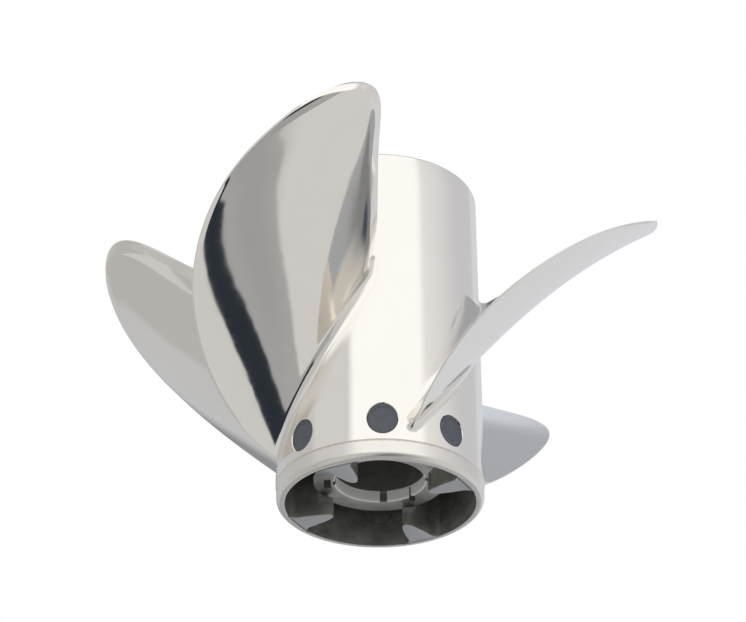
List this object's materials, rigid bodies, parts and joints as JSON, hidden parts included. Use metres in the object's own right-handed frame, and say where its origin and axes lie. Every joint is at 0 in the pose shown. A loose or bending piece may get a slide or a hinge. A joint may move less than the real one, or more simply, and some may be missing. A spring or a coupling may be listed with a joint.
{
  "type": "boat propeller",
  "caption": "Polished steel right-hand boat propeller with raked blades, a through-hub exhaust barrel, an inner hub carried on ribs, and vent plugs round its forward end.",
  "frame": {"origin": "centre of the forward rim of the barrel, on the plane that the part rests on", "axes": "+Z along the shaft axis towards the aft end, so the blades rake towards +Z; the pictured side faces -Y and +X is to its right"},
  "size_m": [0.3282, 0.3282, 0.1975],
  "materials": {
    "barrel_steel": "polished",
    "blade_steel": "polished",
    "cast_steel": "as cast",
    "plug_plastic": "matt"
  },
  "bodies": {
    "root": {"outer_barrel": "barrel_steel", "inner_hub": "cast_steel", "rib_1": "cast_steel", "rib_2": "cast_steel", "rib_3": "cast_steel", "rib_4": "cast_steel", "blade_1": "blade_steel", "blade_2": "blade_steel", "blade_3": "blade_steel", "blade_4": "blade_steel", "vent_plug_1": "plug_plastic", "vent_plug_2": "plug_plastic", "vent_plug_3": "plug_plastic", "vent_plug_4": "plug_plastic", "vent_plug_5": "plug_plastic", "vent_plug_6": "plug_plastic", "vent_plug_7": "plug_plastic", "vent_plug_8": "plug_plastic"}
  },
  "joints": []
}
